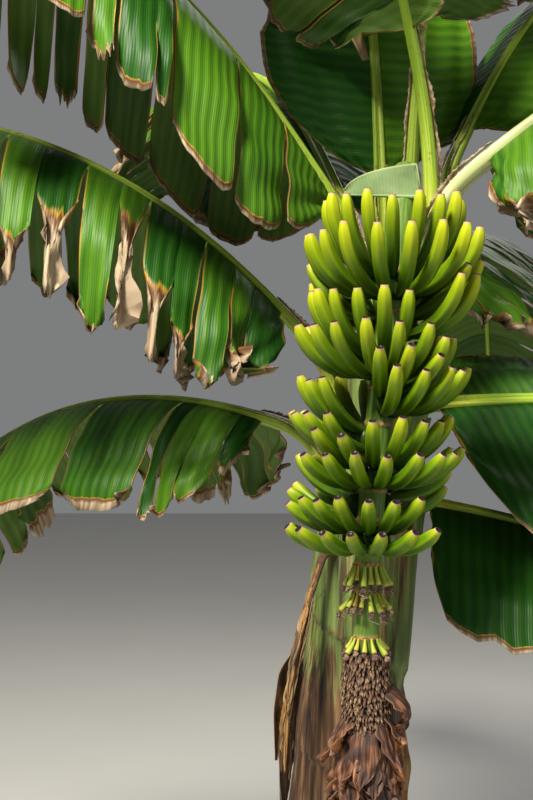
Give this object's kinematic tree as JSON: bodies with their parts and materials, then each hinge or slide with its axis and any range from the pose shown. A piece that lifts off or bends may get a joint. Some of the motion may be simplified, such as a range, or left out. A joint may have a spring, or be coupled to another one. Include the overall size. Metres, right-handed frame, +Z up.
{
  "type": "banana plant",
  "caption": "Fruiting dwarf banana plant: stout false stem, crown of wind-torn arching leaves, and a hanging bunch over a stalk of dried flowers, dry bracts and a bud.",
  "frame": {"origin": "centre of the flat cut under the false stem, at ground level", "axes": "+Z up along the stem; -Y is the side the bunch hangs on, which the picture shows; +X is to the right of that view"},
  "size_m": [2.6202, 1.8342, 2.8254],
  "materials": {
    "stem": "smooth waxy leaf sheaths, green with brown dry edges",
    "stalk": "green, slightly hairy fruit stalk",
    "leaf": "satin leaf blade, paler below, with a pale rib",
    "flag_leaf": "pale green, satin",
    "dead_leaf": "dry, matt, brown",
    "fruit": "waxy green skin, satin",
    "flower_whorl": "yellow-green small fingers with dry tips",
    "dried_flowers": "dry, matt, brown",
    "dried_bracts": "papery, matt, pinkish brown",
    "bud": "waxy purple bracts, satin"
  },
  "bodies": {
    "root": {"false_stem": "stem", "peduncle_rise": "stalk", "peduncle_fall": "stalk", "rachis": "stalk", "leaf_01_base": "leaf", "leaf_01_tip": "leaf", "leaf_02_base": "leaf", "leaf_02_tip": "leaf", "leaf_03_base": "leaf", "leaf_03_tip": "leaf", "leaf_04_base": "leaf", "leaf_04_tip": "leaf", "leaf_05_base": "leaf", "leaf_05_tip": "leaf", "leaf_06_base": "leaf", "leaf_06_tip": "leaf", "leaf_07_base": "leaf", "leaf_07_tip": "leaf", "leaf_08_base": "leaf", "leaf_08_tip": "leaf", "leaf_09_base": "leaf", "leaf_09_tip": "leaf", "leaf_10_base": "leaf", "leaf_10_tip": "leaf", "leaf_11_base": "leaf", "leaf_11_tip": "leaf", "leaf_12_base": "leaf", "leaf_12_tip": "leaf", "flag_leaf": "flag_leaf", "dead_leaf_1": "dead_leaf", "dead_leaf_2": "dead_leaf", "dead_leaf_3": "dead_leaf", "hand_1": "fruit", "hand_2": "fruit", "hand_3": "fruit", "hand_4": "fruit", "hand_5": "fruit", "hand_6": "fruit", "hand_7": "fruit", "hand_8": "fruit", "flower_whorl_1": "flower_whorl", "flower_whorl_2": "flower_whorl", "flower_whorl_3": "flower_whorl", "dried_flower_sleeve": "dried_flowers", "dried_bracts": "dried_bracts", "male_bud": "bud"}
  },
  "joints": []
}
